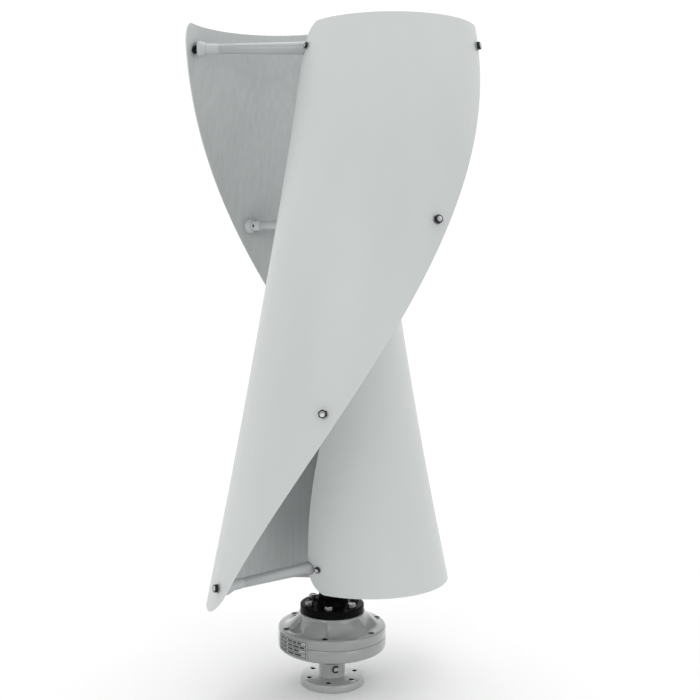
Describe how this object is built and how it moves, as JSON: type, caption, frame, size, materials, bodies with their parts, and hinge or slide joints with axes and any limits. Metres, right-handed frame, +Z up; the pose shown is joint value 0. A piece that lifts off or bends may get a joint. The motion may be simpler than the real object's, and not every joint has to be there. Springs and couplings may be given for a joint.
{
  "type": "vertical axis wind turbine",
  "caption": "Vertical axis wind turbine: helical blades on arms round an upright shaft turn a flanged disc generator.",
  "frame": {"origin": "centre of the mounting flange's underside, on the shaft axis", "axes": "+Z up along the shaft; +X to the right of the side seen with the front blade's outer edge at the top right; -Y towards that side"},
  "size_m": [0.5194, 0.518, 1.1835],
  "materials": {
    "blade": "thin bent sheet with satin light grey paint",
    "casing": "casting with neutral grey paint",
    "arm": "satin white paint",
    "cap": "white moulding",
    "shaft": "gloss black paint",
    "steel": "bright zinc plate or ground steel",
    "screw": "black oxide",
    "magnet": "nickel plate on magnets and backing ring",
    "coil": "copper windings cast in resin",
    "rubber": "matt black",
    "plate": "thin printed foil with ruled bars and no lettering"
  },
  "bodies": {
    "base": {"mount_flange": "casing", "stator_axle": "steel", "stator_coils": "coil", "axle_nut": "steel", "lower_bearing_inner": "steel", "upper_bearing_inner": "steel", "cable_grommet": "rubber"},
    "rotor": {"lower_cover": "casing", "upper_cover": "casing", "lower_magnet_disc": "magnet", "upper_magnet_disc": "magnet", "lower_bearing_outer": "steel", "upper_bearing_outer": "steel", "neck_seal": "rubber", "rating_plate": "plate", "rim_screw_1": "screw", "rim_screw_2": "screw", "rim_screw_3": "screw", "rim_screw_4": "screw", "rim_screw_5": "screw", "rim_screw_6": "screw", "hub_bolt_1": "steel", "hub_bolt_2": "steel", "hub_bolt_3": "steel", "hub_bolt_4": "steel", "hub_bolt_5": "steel", "hub_bolt_6": "steel", "hub_flange": "shaft", "main_shaft": "shaft", "shaft_cap": "rubber", "spider_1": "arm", "spider_2": "arm", "spider_3": "arm", "spider_4": "arm", "blade_a": "blade", "arm_cap_a1": "cap", "arm_cap_a2": "cap", "arm_cap_a3": "cap", "arm_cap_a4": "cap", "outer_bolt_a1": "steel", "outer_bolt_a2": "steel", "outer_bolt_a3": "steel", "outer_bolt_a4": "steel", "inner_bolt_a1": "steel", "inner_bolt_a2": "steel", "inner_bolt_a3": "steel", "inner_bolt_a4": "steel", "blade_b": "blade", "arm_cap_b1": "cap", "arm_cap_b2": "cap", "arm_cap_b3": "cap", "arm_cap_b4": "cap", "outer_bolt_b1": "steel", "outer_bolt_b2": "steel", "outer_bolt_b3": "steel", "outer_bolt_b4": "steel", "inner_bolt_b1": "steel", "inner_bolt_b2": "steel", "inner_bolt_b3": "steel", "inner_bolt_b4": "steel"}
  },
  "joints": [
    {"name": "rotor_spin", "type": "hinge", "parent": "base", "child": "rotor", "pos_m": [0, 0, 0.08], "axis": [0, 0, 1], "continuous": true}
  ]
}
